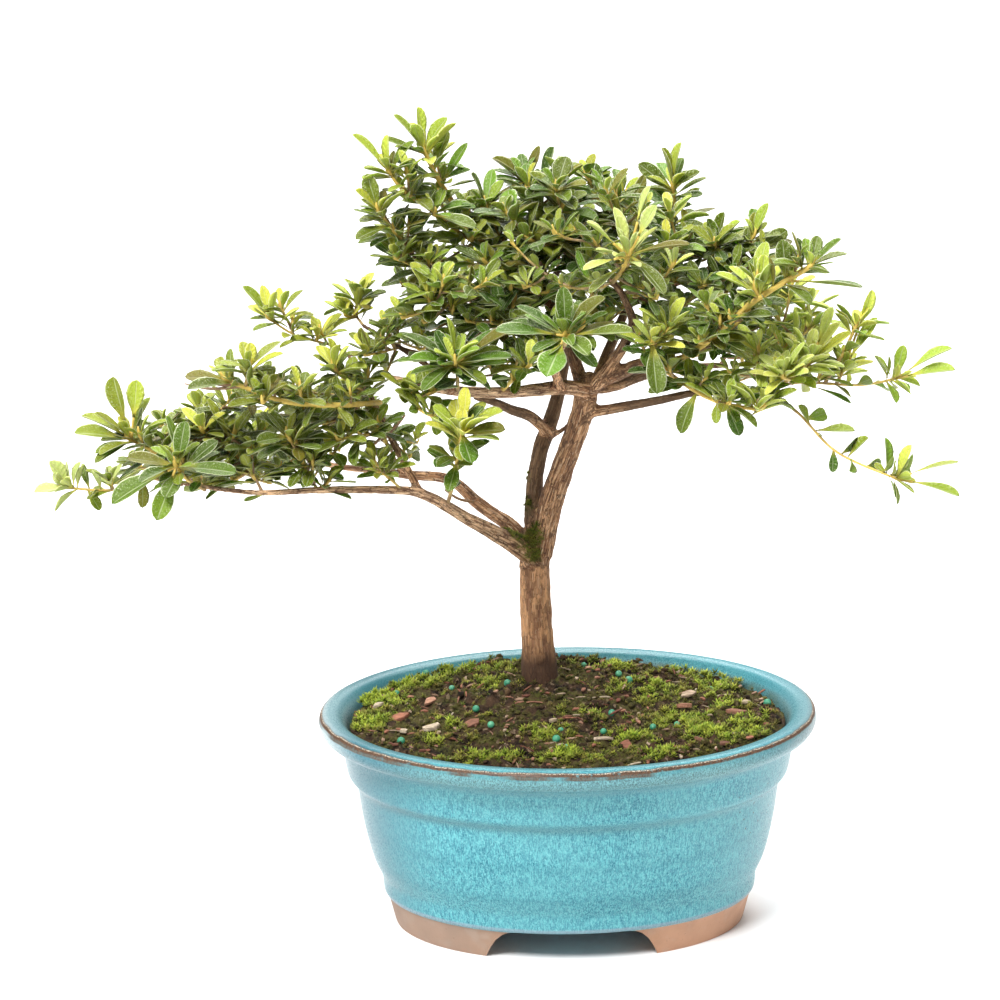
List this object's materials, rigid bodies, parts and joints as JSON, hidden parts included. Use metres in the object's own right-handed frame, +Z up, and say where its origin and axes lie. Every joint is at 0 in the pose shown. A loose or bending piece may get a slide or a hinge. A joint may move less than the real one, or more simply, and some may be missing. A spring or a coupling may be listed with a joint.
{
  "type": "satsuki azalea bonsai",
  "caption": "Small potted azalea bonsai with a slanting spreading crown of spoon-shaped leaves in an oval turquoise glazed pot on two feet.",
  "frame": {"origin": "middle of the whole object's box, on the surface that the pot's feet stand on", "axes": "+Z up, +X to the right along the pot's long side as seen from the front, +Y to the back"},
  "size_m": [0.364, 0.2156, 0.3376],
  "materials": {
    "stoneware_glaze": "glossy mottled turquoise glaze, worn brown on the rim's edge, bare terracotta feet",
    "soil": "dark crumbly bark and peat mix with moss",
    "bark": "flaky brown bark, rough",
    "foliage": "leathery leaves, dark glossy green to bright yellow-green, on golden young stems",
    "screen_plastic": "dark moulded mesh",
    "bark_chip": "dry bark chips, reddish brown",
    "feed_bead": "coated granules, blue-green"
  },
  "bodies": {
    "root": {"pot": "stoneware_glaze", "drain_screen_left": "screen_plastic", "drain_screen_right": "screen_plastic", "soil": "soil", "bark_chip_1": "bark_chip", "bark_chip_2": "bark_chip", "bark_chip_3": "bark_chip", "bark_chip_4": "bark_chip", "bark_chip_5": "bark_chip", "feed_bead_1": "feed_bead", "feed_bead_2": "feed_bead", "feed_bead_3": "feed_bead", "feed_bead_4": "feed_bead", "feed_bead_5": "feed_bead", "wood": "bark", "spray_back_centre_fill": "foliage", "spray_back_high_fill": "foliage", "spray_back_left_fill": "foliage", "spray_back_mid_fill": "foliage", "spray_centre_low_fill": "foliage", "spray_crown_centre_fill": "foliage", "spray_crown_left_dark": "foliage", "spray_crown_left_golden": "foliage", "spray_crown_left_low": "foliage", "spray_crown_left_outer": "foliage", "spray_crown_right_dark": "foliage", "spray_crown_right_outer": "foliage", "spray_crown_top_centre": "foliage", "spray_crown_top_left": "foliage", "spray_crown_top_right": "foliage", "spray_far_left_tip": "foliage", "spray_front_left_rosette": "foliage", "spray_front_right_upright": "foliage", "spray_front_rosette": "foliage", "spray_left_front_rosette": "foliage", "spray_left_golden_stem": "foliage", "spray_left_low_fill": "foliage", "spray_left_mid_fill": "foliage", "spray_left_rear_fill": "foliage", "spray_left_rear_fill_high": "foliage", "spray_left_twig_spray": "foliage", "spray_left_upper_fan": "foliage", "spray_limb_golden_long": "foliage", "spray_limb_golden_side": "foliage", "spray_limb_small_shoot": "foliage", "spray_low_bright_rosette": "foliage", "spray_mid_left_outer": "foliage", "spray_mid_left_young": "foliage", "spray_pale_tall_rosette": "foliage", "spray_right_bright_rosette": "foliage", "spray_right_golden_long": "foliage", "spray_right_golden_low": "foliage", "spray_right_rear_fill": "foliage", "spray_right_trailing_lower": "foliage", "spray_right_trailing_upper": "foliage", "spray_twig_back_spray": "foliage", "spray_twig_end_spray": "foliage", "spray_twig_lower_spray": "foliage", "spray_twig_side_spray": "foliage", "spray_twig_top_spray": "foliage"}
  },
  "joints": []
}
